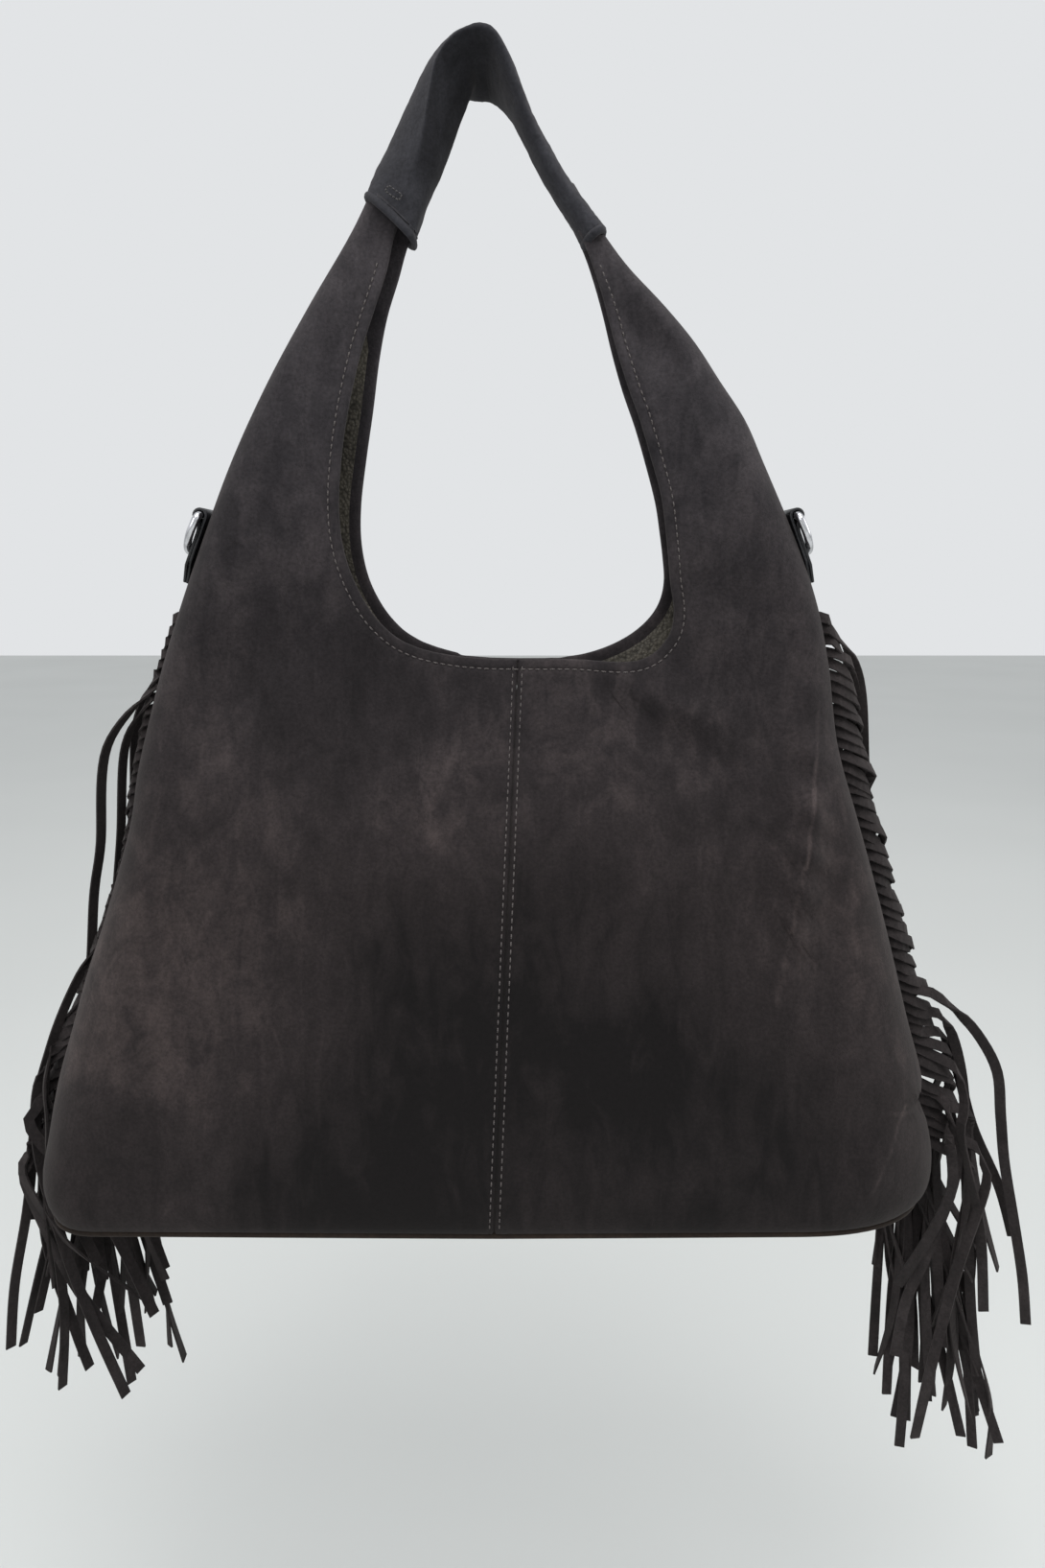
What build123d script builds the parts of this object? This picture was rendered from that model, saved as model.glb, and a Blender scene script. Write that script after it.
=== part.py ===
from build123d import *
import math
import os

os.makedirs("parts", exist_ok=True)

# Hobo bag hung by its shoulder strap. The origin is the hang point under the strap, X runs across the bag,
# the front face looks along -Y, and Z is up. All sizes are in millimetres.

# Cloth and stiffener thicknesses
suede = 1.6
skin = 1.0
base_suede = 2.5
board = 2.0
sleeve_wall = 1.5
core_gap = 0.2

# Outline of the filled bag: height, left side, right side, half depth, half depth at the centre seam, corner
mouth_pinch = 6.0
base_z = -484.0
body_sections = [
    (-48.0, -46.0, 36.0, 6.0, 6.4, 5.0),
    (-64.0, -55.0, 47.0, 8.0, 8.5, 6.5),
    (-95.0, -74.0, 76.0, 13.0, 13.6, 10.0),
    (-126.0, -92.0, 100.0, 17.0, 17.8, 13.0),
    (-158.0, -108.0, 118.0, 19.0, 20.0, 14.5),
    (-191.0, -121.5, 133.5, 19.0, 20.0, 14.5),
    (-224.0, -134.0, 145.0, 17.5, 12.0, 13.0),
    (-247.0, -142.0, 150.0, 16.5, mouth_pinch, 12.0),
    (-272.0, -149.0, 153.5, 20.0, mouth_pinch, 15.0),
    (-300.0, -156.0, 159.0, 27.0, 20.0, 20.0),
    (-336.0, -164.0, 171.0, 34.0, 37.0, 26.0),
    (-395.0, -181.0, 186.0, 45.0, 48.0, 35.0),
    (-451.0, -195.0, 199.0, 53.0, 55.0, 41.0),
    (-475.0, -198.0, 203.0, 54.0, 56.0, 42.0),
    (base_z, -191.0, 196.0, 48.0, 50.0, 37.0),
]
horn_top_z = body_sections[0][0]

# Centre seam, which leans a little
seam_top = (14.0, -244.0)
seam_foot = (4.0, base_z)

# Opening between the two horns, as seen from the front
opening_floor_z = -244.0
opening_waist_z = -180.0
opening_left_x = -62.0
opening_right_x = 80.0
opening_left_r = 42.0
opening_right_r = 27.0
waist_r = 60.0
throat_z = -64.0
throat_left_x = -29.0
throat_right_x = 38.5
throat_slope = 0.45
facing_width = 42.0

# Shoulder sleeve: x, z, heading in degrees, half thickness, half width
sleeve_stations = [
    (-42.6, -65.0, 65.0, 14.4, 12.0),
    (-34.0, -47.0, 65.0, 13.6, 12.0),
    (-23.0, -25.0, 64.0, 9.0, 15.0),
    (-10.0, -3.4, 58.0, 4.2, 20.0),
    (-5.6, 1.3, 32.0, 3.3, 22.0),
    (0.0, 3.0, 0.0, 3.0, 23.0),
    (5.6, 1.2, -34.0, 3.2, 22.5),
    (10.0, -4.0, -58.0, 3.6, 21.0),
    (22.0, -24.0, -60.0, 4.4, 17.0),
    (33.6, -47.5, -60.0, 5.6, 12.0),
    (43.9, -66.0, -61.0, 6.6, 12.0),
]
sleeve_corner_share = 0.35

# D-rings and their tabs
wire_r = 1.7
ring_inside_width = 20.0
ring_inside_height = 13.2
ring_corner_r = 3.0
ring_gap = 0.3
tab_cloth = 1.2
tab_width = 18.0
tab_tail = 30.0
tab_sink = 3.0
tab_z = -183.0
ring_tilt = 4.5

# Magnetic snap
snap_z = -260.0
snap_r = 9.0
socket_thick = 4.0
stud_plate = 2.4
stud_r = 3.0
stud_gap = 0.2
stud_long = 2.2
socket_hole = 3.0
washer_thick = 0.4
washer_r = 5.0
pocket_reach = 2.0

# Fringe curtain on each side seam
fringe_top_z = -227.0
fringe_layer = 1.2
fringe_stack = 6.0
fringe_gap = 0.2
strip_pitch = 5.0
strip_cut = 0.6
strip_cut_top_z = -440.0
fringe_turn_z = -475.0
fringe_top_half = 6.0
fringe_foot_half = 25.0
strip_ends = [-560.0, -612.0, -584.0, -634.0, -600.0, -645.0, -576.0, -622.0, -592.0, -552.0]
strip_swings = [0.2, 0.75, 0.35, 1.0, 0.5, 0.9, 0.1, 0.8, 0.45, 0.15]
swing_left = 24.0
swing_right = 42.0

wide = 400.0


def seam_x(z):
    share = (z - seam_top[1]) / (seam_foot[1] - seam_top[1])
    return seam_top[0] + (seam_foot[0] - seam_top[0]) * max(share, 0.0)


def side_x(z, column):
    for upper, lower in zip(body_sections, body_sections[1:]):
        if lower[0] <= z <= upper[0]:
            share = (z - upper[0]) / (lower[0] - upper[0])
            return upper[column] + (lower[column] - upper[column]) * share
    return body_sections[-1][column]


def bag_form(inset, floor_z):
    """The filled bag, inset by a wall and cut off at floor_z."""
    with BuildPart() as form:
        for z, left, right, depth, pinch, corner in body_sections:
            left_in = left + inset
            right_in = right - inset
            depth_in = depth - inset
            pinch_in = pinch - inset
            with BuildSketch(Plane.XY.offset(z)) as section:
                with BuildLine():
                    Polyline(
                        (left_in, -depth_in),
                        (seam_x(z), -pinch_in),
                        (right_in, -depth_in),
                        (right_in, depth_in),
                        (seam_x(z), pinch_in),
                        (left_in, depth_in),
                        close=True,
                    )
                make_face()
                outer = section.vertices().filter_by(lambda v: abs(v.X - seam_x(z)) > corner)
                fillet(outer, corner - inset)
        loft(ruled=True)
        if floor_z > base_z:
            with BuildSketch(Plane.XY.offset(floor_z)):
                Rectangle(2 * wide, wide)
            extrude(amount=-wide, mode=Mode.SUBTRACT)
    return form.part


def opening_form(margin):
    """The gap between the horns, run right through and grown by margin."""
    lift = 60.0
    left_top = throat_left_x + throat_slope * (lift - throat_z)
    right_top = throat_right_x - throat_slope * (lift - throat_z)
    with BuildPart() as form:
        with BuildSketch(Plane.XZ) as shape:
            with BuildLine():
                Polyline(
                    (min(left_top, 0.0) - margin, lift),
                    (throat_left_x - margin, throat_z),
                    (opening_left_x - margin, opening_waist_z),
                    (opening_left_x - margin, opening_floor_z - margin),
                    (opening_right_x + margin, opening_floor_z - margin),
                    (opening_right_x + margin, opening_waist_z),
                    (throat_right_x + margin, throat_z),
                    (max(right_top, 4.0) + margin, lift),
                    close=True,
                )
            make_face()
            floor = shape.vertices().group_by(Axis.Y)[0].sort_by(Axis.X)
            fillet(floor[0], opening_left_r + margin)
            floor = shape.vertices().group_by(Axis.Y)[0].sort_by(Axis.X)
            fillet(floor[-1], opening_right_r + margin)
        extrude(amount=wide, both=True)
    return form.part


def half_space(front):
    """Everything in front of the side seams, or behind them."""
    with BuildPart() as form:
        with Locations((0, -wide / 2 if front else wide / 2, -wide / 2)):
            Box(4 * wide, wide, 4 * wide)
    return form.part


def beside_seam(left):
    """Everything to one side of the leaning centre seam."""
    lean = (seam_foot[0] - seam_top[0]) / (seam_foot[1] - seam_top[1])
    reach = -2 * wide if left else 2 * wide
    with BuildPart() as form:
        with BuildSketch(Plane.XZ):
            with BuildLine():
                Polyline(
                    (seam_top[0], wide),
                    (seam_top[0], seam_top[1]),
                    (seam_foot[0] - lean * wide, base_z - wide),
                    (reach, base_z - wide),
                    (reach, wide),
                    close=True,
                )
            make_face()
        extrude(amount=wide, both=True)
    return form.part


def sleeve_form(inset):
    """The strap along its path over the hook, inset by a wall."""
    with BuildPart() as form:
        for x, z, heading, thick, width in sleeve_stations:
            turn = math.radians(heading)
            across = Plane(origin=(x, 0, z), x_dir=(0, 1, 0), z_dir=(math.cos(turn), 0, math.sin(turn)))
            with BuildSketch(across):
                RectangleRounded(2 * (width - inset), 2 * (thick - inset), sleeve_corner_share * (thick - inset))
        loft(ruled=True)
    return form.part


outer_form = bag_form(0.0, base_z)
wall_form = bag_form(suede, base_z + base_suede)
room_form = bag_form(suede + skin, base_z + base_suede + board + skin)
opening = opening_form(0.0)
facing_zone = opening_form(facing_width)
front_side = half_space(True)
back_side = half_space(False)
left_side = beside_seam(True)
right_side = beside_seam(False)
sleeve_outer = sleeve_form(0.0)
sleeve_inner = sleeve_form(sleeve_wall)

# Magnetic snap, on the front and back facings at the centre of the mouth
snap_plane = Plane(origin=(seam_x(snap_z), 0, snap_z), x_dir=(1, 0, 0), z_dir=(0, 1, 0))
facing_y = mouth_pinch - suede - skin
washer_y = mouth_pinch - suede

with BuildPart() as snap_socket:
    with BuildSketch(snap_plane.offset(facing_y)):
        Circle(snap_r)
    extrude(amount=-socket_thick)
    with BuildSketch(snap_plane.offset(facing_y - socket_thick)):
        Circle(stud_r + stud_gap)
    extrude(amount=socket_hole, mode=Mode.SUBTRACT)

with BuildPart() as snap_stud:
    with BuildSketch(snap_plane.offset(-facing_y)):
        Circle(snap_r)
    extrude(amount=stud_plate)
    with BuildSketch(snap_plane.offset(-facing_y + stud_plate)):
        Circle(stud_r)
    extrude(amount=stud_long)

with BuildPart() as snap_washer_front:
    with BuildSketch(snap_plane.offset(-washer_y)):
        Circle(washer_r)
    extrude(amount=washer_thick)

with BuildPart() as snap_washer_back:
    with BuildSketch(snap_plane.offset(washer_y)):
        Circle(washer_r)
    extrude(amount=-washer_thick)

with BuildPart() as pocket_front:
    with BuildSketch(snap_plane.offset(washer_thick - washer_y)):
        Circle(washer_r)
    extrude(amount=-pocket_reach)

with BuildPart() as pocket_back:
    with BuildSketch(snap_plane.offset(washer_y - washer_thick)):
        Circle(washer_r)
    extrude(amount=pocket_reach)


def panel_of(side, half):
    """One outer suede panel: a quarter of the bag's outer wall, without the opening."""
    with BuildPart() as form:
        add(outer_form)
        add(wall_form, mode=Mode.SUBTRACT)
        add(opening, mode=Mode.SUBTRACT)
        add(side, mode=Mode.INTERSECT)
        add(half, mode=Mode.INTERSECT)
        with BuildSketch(Plane.XY.offset(base_z + base_suede)):
            Rectangle(2 * wide, wide)
        extrude(amount=-wide, mode=Mode.SUBTRACT)
    return form.part


def skin_of(side, pocket):
    """The inner wall on one side of the bag, with the pocket for the snap's washer."""
    with BuildPart() as form:
        add(wall_form)
        add(room_form, mode=Mode.SUBTRACT)
        add(opening, mode=Mode.SUBTRACT)
        add(side, mode=Mode.INTERSECT)
        add(pocket, mode=Mode.SUBTRACT)
        with BuildSketch(Plane.XY.offset(base_z + base_suede + board)):
            Rectangle(2 * wide, wide)
        extrude(amount=-wide, mode=Mode.SUBTRACT)
    return form.part


front_skin = skin_of(front_side, pocket_front.part)
back_skin = skin_of(back_side, pocket_back.part)

with BuildPart() as front_panel_left:
    add(panel_of(front_side, left_side))

with BuildPart() as front_panel_right:
    add(panel_of(front_side, right_side))

with BuildPart() as back_panel_left:
    add(panel_of(back_side, left_side))

with BuildPart() as back_panel_right:
    add(panel_of(back_side, right_side))

with BuildPart() as base_panel:
    add(outer_form)
    with BuildSketch(Plane.XY.offset(base_z + base_suede)):
        Rectangle(2 * wide, wide)
    extrude(amount=wide * 2, mode=Mode.SUBTRACT)

with BuildPart() as base_board:
    add(wall_form)
    with BuildSketch(Plane.XY.offset(base_z + base_suede + board)):
        Rectangle(2 * wide, wide)
    extrude(amount=wide * 2, mode=Mode.SUBTRACT)

with BuildPart() as facing_front:
    add(front_skin)
    add(facing_zone, mode=Mode.INTERSECT)

with BuildPart() as facing_back:
    add(back_skin)
    add(facing_zone, mode=Mode.INTERSECT)

with BuildPart() as lining_front:
    add(front_skin)
    add(facing_zone, mode=Mode.SUBTRACT)

with BuildPart() as lining_back:
    add(back_skin)
    add(facing_zone, mode=Mode.SUBTRACT)

with BuildPart() as shoulder_sleeve:
    add(sleeve_outer)
    add(sleeve_inner, mode=Mode.SUBTRACT)

with BuildPart() as strap_core:
    add(sleeve_form(sleeve_wall + core_gap))
    with BuildSketch(Plane.XY.offset(horn_top_z)):
        Rectangle(2 * wide, wide)
    extrude(amount=-wide, mode=Mode.SUBTRACT)


def tab_frame(column):
    """Bar centre and side direction of a ring tab: x, z, angle of the side from straight down, outward sign."""
    sign = -1.0 if column == 1 else 1.0
    high = side_x(tab_z, column)
    low = side_x(tab_z - tab_tail, column)
    lean = math.atan2(abs(low - high), tab_tail)
    stand_off = wire_r + ring_gap + tab_cloth
    x = high + sign * stand_off * math.cos(lean)
    z = tab_z + stand_off * math.sin(lean)
    return x, z, lean, sign


def tab_form(column):
    """A folded tab sewn to the side, with the loop that holds the ring's bar at its top."""
    x, z, lean, sign = tab_frame(column)
    away = Plane(
        origin=(x, 0, z),
        x_dir=(sign * math.cos(lean), 0, math.sin(lean)),
        z_dir=(0, -sign, 0),
    )
    loop_r = wire_r + ring_gap + tab_cloth
    with BuildPart() as form:
        with BuildSketch(away):
            Circle(loop_r)
            with BuildLine():
                Polyline(
                    (-loop_r - tab_sink, 0),
                    (-loop_r + 2 * tab_cloth, 0),
                    (-loop_r + 2 * tab_cloth, -tab_tail),
                    (-loop_r - tab_sink, -tab_tail),
                    close=True,
                )
            make_face()
            Circle(wire_r + ring_gap, mode=Mode.SUBTRACT)
        extrude(amount=tab_width / 2, both=True)
        add(outer_form, mode=Mode.SUBTRACT)
    return form.part


def ring_form(column):
    """A D-ring hanging from its bar, tipped out far enough to lie on the tab."""
    x, z, lean, sign = tab_frame(column)
    drop = lean + math.radians(ring_tilt)
    hang = Plane(
        origin=(x, 0, z),
        x_dir=(0, -sign, 0),
        z_dir=(sign * math.cos(drop), 0, math.sin(drop)),
    )
    half = ring_inside_width / 2 + wire_r
    leg_end = ring_inside_height + 2 * wire_r - half
    bar_half = half - ring_corner_r
    with BuildPart() as form:
        with BuildSketch(Plane(origin=hang.from_local_coords((-bar_half, 0, 0)), z_dir=hang.x_dir)):
            Circle(wire_r)
        extrude(amount=2 * bar_half)
        for way in (-1, 1):
            bar_end = hang.from_local_coords((way * bar_half, 0, 0))
            corner = hang.from_local_coords((way * bar_half, ring_corner_r, 0))
            leg_start = hang.from_local_coords((way * half, ring_corner_r, 0))
            with BuildSketch(Plane(origin=bar_end, z_dir=hang.x_dir)):
                Circle(wire_r)
            revolve(axis=Axis(corner, hang.z_dir * way), revolution_arc=90)
            with BuildSketch(Plane(origin=leg_start, z_dir=hang.y_dir)):
                Circle(wire_r)
            extrude(amount=leg_end - ring_corner_r)
        with BuildSketch(Plane(origin=hang.from_local_coords((half, leg_end, 0)), z_dir=hang.y_dir)):
            Circle(wire_r)
        revolve(axis=Axis(hang.from_local_coords((0, leg_end, 0)), hang.z_dir), revolution_arc=180)
    return form.part


with BuildPart() as ring_tab_left:
    add(tab_form(1))

with BuildPart() as ring_tab_right:
    add(tab_form(2))

with BuildPart() as d_ring_left:
    add(ring_form(1))

with BuildPart() as d_ring_right:
    add(ring_form(2))


def fringe_line(column, z):
    """Inner and outer faces of the fringe at a height on the bag's side."""
    sign = -1.0 if column == 1 else 1.0
    share = (z - fringe_top_z) / (fringe_turn_z - fringe_top_z)
    near = side_x(z, column) + sign * fringe_gap
    return near, near + sign * (fringe_layer + (fringe_stack - fringe_layer) * share)


def fringe_form(column):
    """The strips of one side seam, lying down the side and hanging free below the base."""
    sign = -1.0 if column == 1 else 1.0
    swing = swing_left if column == 1 else swing_right
    levels = [section[0] for section in body_sections if strip_cut_top_z < section[0] < fringe_top_z]
    levels = [fringe_top_z, *levels, strip_cut_top_z]
    low_levels = [section[0] for section in body_sections if fringe_turn_z < section[0] < strip_cut_top_z]
    low_levels = [strip_cut_top_z, *low_levels, fringe_turn_z]
    inner = [(fringe_line(column, z)[0], z) for z in levels]
    outer = [(fringe_line(column, z)[1], z) for z in levels]
    with BuildPart() as form:
        with BuildSketch(Plane.XZ):
            with BuildLine():
                Polyline(*inner, *reversed(outer), close=True)
            make_face()
        extrude(amount=wide / 4, both=True)
        with BuildSketch(Plane.YZ):
            with BuildLine():
                Polyline(
                    (-fringe_top_half, fringe_top_z),
                    (-fringe_foot_half, strip_cut_top_z),
                    (fringe_foot_half, strip_cut_top_z),
                    (fringe_top_half, fringe_top_z),
                    close=True,
                )
            make_face()
        extrude(amount=wide, both=True, mode=Mode.INTERSECT)
        for number, (end_z, share) in enumerate(zip(strip_ends, strip_swings)):
            y = -fringe_foot_half + strip_pitch * (number + 0.5)
            shift = sign * swing * share
            near = [(fringe_line(column, z)[0], z) for z in low_levels]
            far = [(fringe_line(column, z)[1], z) for z in low_levels]
            near.append((near[-1][0] + shift, end_z))
            far.append((far[-1][0] + shift, end_z))
            with BuildSketch(Plane.XZ.offset(-y)):
                with BuildLine():
                    Polyline(*near, *reversed(far), close=True)
                make_face()
            extrude(amount=(strip_pitch - strip_cut) / 2, both=True)
    return form.part


with BuildPart() as fringe_left:
    add(fringe_form(1))

with BuildPart() as fringe_right:
    add(fringe_form(2))

nodes = {
    "front_panel_left": front_panel_left,
    "front_panel_right": front_panel_right,
    "back_panel_left": back_panel_left,
    "back_panel_right": back_panel_right,
    "base_panel": base_panel,
    "base_board": base_board,
    "facing_front": facing_front,
    "facing_back": facing_back,
    "lining_front": lining_front,
    "lining_back": lining_back,
    "shoulder_sleeve": shoulder_sleeve,
    "strap_core": strap_core,
    "ring_tab_left": ring_tab_left,
    "ring_tab_right": ring_tab_right,
    "d_ring_left": d_ring_left,
    "d_ring_right": d_ring_right,
    "snap_socket": snap_socket,
    "snap_stud": snap_stud,
    "snap_washer_front": snap_washer_front,
    "snap_washer_back": snap_washer_back,
    "fringe_left": fringe_left,
    "fringe_right": fringe_right,
}
for name, node in nodes.items():
    node.part.label = name
    export_step(node.part, f"parts/{name}.step")

for column, name in ((1, "left"), (2, "right")):
    x, z, lean, sign = tab_frame(column)
    print(name, "ring bar centre", round(x, 3), round(z, 3), "side lean", round(math.degrees(lean), 2))
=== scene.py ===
import bpy
import math
import random
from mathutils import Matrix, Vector, noise


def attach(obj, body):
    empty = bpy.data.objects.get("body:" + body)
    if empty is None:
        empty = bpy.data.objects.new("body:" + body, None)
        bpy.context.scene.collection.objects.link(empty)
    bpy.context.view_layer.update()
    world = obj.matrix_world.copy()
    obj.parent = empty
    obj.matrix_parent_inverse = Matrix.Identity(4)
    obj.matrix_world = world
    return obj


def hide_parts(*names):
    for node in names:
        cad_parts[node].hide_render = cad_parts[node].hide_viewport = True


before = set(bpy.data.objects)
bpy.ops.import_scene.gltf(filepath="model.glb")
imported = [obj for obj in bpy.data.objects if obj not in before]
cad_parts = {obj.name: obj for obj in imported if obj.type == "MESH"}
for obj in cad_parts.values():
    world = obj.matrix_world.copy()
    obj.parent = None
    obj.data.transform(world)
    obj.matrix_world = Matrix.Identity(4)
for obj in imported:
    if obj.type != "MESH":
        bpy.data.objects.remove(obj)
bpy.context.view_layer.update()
scene = bpy.context.scene
print("frame loaded")

mm = 0.001  # sizes are in millimetres unless a note says otherwise


# Small helpers for shapes

# A smooth curve through (height, value) pairs listed from the top down
def lineAt(table, z):
    if z >= table[0][0]:
        return table[0][1]
    if z <= table[-1][0]:
        return table[-1][1]
    last = len(table) - 1
    i = next(k for k in range(last) if table[k + 1][0] <= z)

    def slope(k):
        a, b = table[max(k - 1, 0)], table[min(k + 1, last)]
        return (b[1] - a[1]) / (b[0] - a[0])

    (z0, v0), (z1, v1) = table[i], table[i + 1]
    h = z1 - z0
    t = (z - z0) / h
    return ((2 * t ** 3 - 3 * t * t + 1) * v0 + (t ** 3 - 2 * t * t + t) * h * slope(i)
            + (3 * t * t - 2 * t ** 3) * v1 + (t ** 3 - t * t) * h * slope(i + 1))


# A smooth curve through points of any size, u counted in points
def curveAt(points, u):
    last = len(points) - 1
    i = min(int(u), last - 1)
    t = u - i
    p0, p1 = points[max(i - 1, 0)], points[i]
    p2, p3 = points[i + 1], points[min(i + 2, last)]
    return [0.5 * (2 * b + (c - a) * t + (2 * a - 5 * b + 4 * c - d) * t * t
                   + (3 * b - a - 3 * c + d) * t ** 3)
            for a, b, c, d in zip(p0, p1, p2, p3)]


def ease(t):
    t = min(max(t, 0.0), 1.0)
    return t * t * (3 - 2 * t)


def mix(a, b, t):
    return a + (b - a) * t


# A piece from points in millimetres
def newPiece(name, points, faces, finish):
    mesh = bpy.data.meshes.new(name)
    mesh.from_pydata([(x * mm, y * mm, z * mm) for x, y, z in points], [], faces)
    mesh.validate()
    mesh.polygons.foreach_set("use_smooth", [True] * len(mesh.polygons))
    mesh.materials.append(finish)
    piece = bpy.data.objects.new(name, mesh)
    scene.collection.objects.link(piece)
    return piece


# Merge doubled points, and turn the faces outwards where the piece is closed
def tidyMesh(piece, gap=0.05, outward=False):
    bpy.ops.object.select_all(action="DESELECT")
    bpy.context.view_layer.objects.active = piece
    piece.select_set(True)
    bpy.ops.object.mode_set(mode="EDIT")
    bpy.ops.mesh.select_all(action="SELECT")
    bpy.ops.mesh.remove_doubles(threshold=gap * mm)
    if outward:
        bpy.ops.mesh.normals_make_consistent(inside=False)
    bpy.ops.object.mode_set(mode="OBJECT")
    piece.select_set(False)


# Faces of a grid whose points run column by column
def gridFaces(rows, columns, flip):
    faces = []
    for c in range(columns - 1):
        for r in range(rows - 1):
            a, b = c * rows + r, (c + 1) * rows + r
            quad = [a, b, b + 1, a + 1]
            faces.append(quad[::-1] if flip else quad)
    return faces


# Faces between rings of points, with both ends closed if capped
def ringFaces(start, count, rings, capped=True):
    faces = []
    for r in range(rings - 1):
        a, b = start + r * count, start + (r + 1) * count
        for k in range(count):
            m = (k + 1) % count
            faces.append([a + k, a + m, b + m, b + k])
    if capped:
        end = start + (rings - 1) * count
        faces.append([start + k for k in range(count)][::-1])
        faces.append([end + k for k in range(count)])
    return faces


# The piece rides on the bag and takes the place of its node
def standFor(piece, node):
    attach(piece, "bag")
    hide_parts(node)
    return piece


# Finishes

def linearOf(hexText):
    channels = [int(hexText[i:i + 2], 16) / 255 for i in (1, 3, 5)]
    return [c / 12.92 if c <= 0.04045 else ((c + 0.055) / 1.055) ** 2.4 for c in channels] + [1.0]


# Add a node, set its settings and sockets by name, and link its inputs
def addNode(tree, kind, settings=None, links=None):
    node = tree.nodes.new("ShaderNode" + kind)
    for key, value in (settings or {}).items():
        if isinstance(key, str) and hasattr(node, key):
            setattr(node, key, value)
        else:
            node.inputs[key].default_value = value
    for key, source in (links or {}).items():
        tree.links.new(source, node.inputs[key])
    return node


def newFinish(name):
    finish = bpy.data.materials.new(name)
    finish.use_nodes = True
    finish.node_tree.nodes.clear()
    tree = finish.node_tree
    return finish, tree, addNode(tree, "TexCoord").outputs["Object"]


def endFinish(tree, settings, links):
    shader = addNode(tree, "BsdfPrincipled", settings, links)
    output = tree.nodes.new("ShaderNodeOutputMaterial")
    tree.links.new(shader.outputs[0], output.inputs["Surface"])


def addNoise(tree, place, scale, detail, rough=0.5, twist=0.0):
    return addNode(tree, "TexNoise", {"Scale": scale, "Detail": detail, "Roughness": rough, "Distortion": twist},
                   {"Vector": place}).outputs["Fac"]


def addMath(tree, operation, first, second=None, third=None):
    node = addNode(tree, "Math", {"operation": operation})
    for k, value in enumerate((first, second, third)):
        if isinstance(value, (int, float)):
            node.inputs[k].default_value = value
        elif value is not None:
            tree.links.new(value, node.inputs[k])
    return node.outputs[0]


# A value moved from one range to another
def addRange(tree, value, start, end, low, high, soft=False):
    settings = {"From Min": start, "From Max": end, "To Min": low, "To Max": high}
    if soft:
        settings["interpolation_type"] = "SMOOTHSTEP"
    return addNode(tree, "MapRange", settings, {"Value": value}).outputs["Result"]


# Colours by level: pairs of (level, hex)
def addRamp(tree, level, low, high, middle=None):
    shade = addNode(tree, "ValToRGB", {}, {"Fac": level})
    ramp = shade.color_ramp
    for stop, (at, tint) in zip(ramp.elements, (low, high)):
        stop.position, stop.color = at, linearOf(tint)
    if middle:
        ramp.elements.new(middle[0]).color = linearOf(middle[1])
    return shade.outputs["Color"]


def addBump(tree, height, strength, distance, invert=False):
    return addNode(tree, "Bump", {"Strength": strength, "Distance": distance, "invert": invert},
                   {"Height": height}).outputs["Normal"]


# A factor that is highest along a line across the front, with soft sides
def nearLine(tree, place, start, end, width, amount):
    a, b = Vector(start) * mm, Vector(end) * mm
    way = b - a
    flat = addNode(tree, "VectorMath", {"operation": "MULTIPLY", 1: (1.0, 0.0, 1.0)}, {0: place})
    offset = addNode(tree, "VectorMath", {"operation": "SUBTRACT", 1: a}, {0: flat.outputs[0]})
    along = addNode(tree, "VectorMath", {"operation": "DOT_PRODUCT", 1: way / way.length_squared},
                    {0: offset.outputs[0]})
    held = addNode(tree, "Clamp", {}, {"Value": along.outputs["Value"]})
    foot = addNode(tree, "VectorMath", {"operation": "SCALE", 0: way}, {"Scale": held.outputs[0]})
    gap = addNode(tree, "VectorMath", {"operation": "DISTANCE"}, {0: offset.outputs[0], 1: foot.outputs[0]})
    return addRange(tree, gap.outputs["Value"], 0.0, width * mm, amount, 0.0, True)


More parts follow.
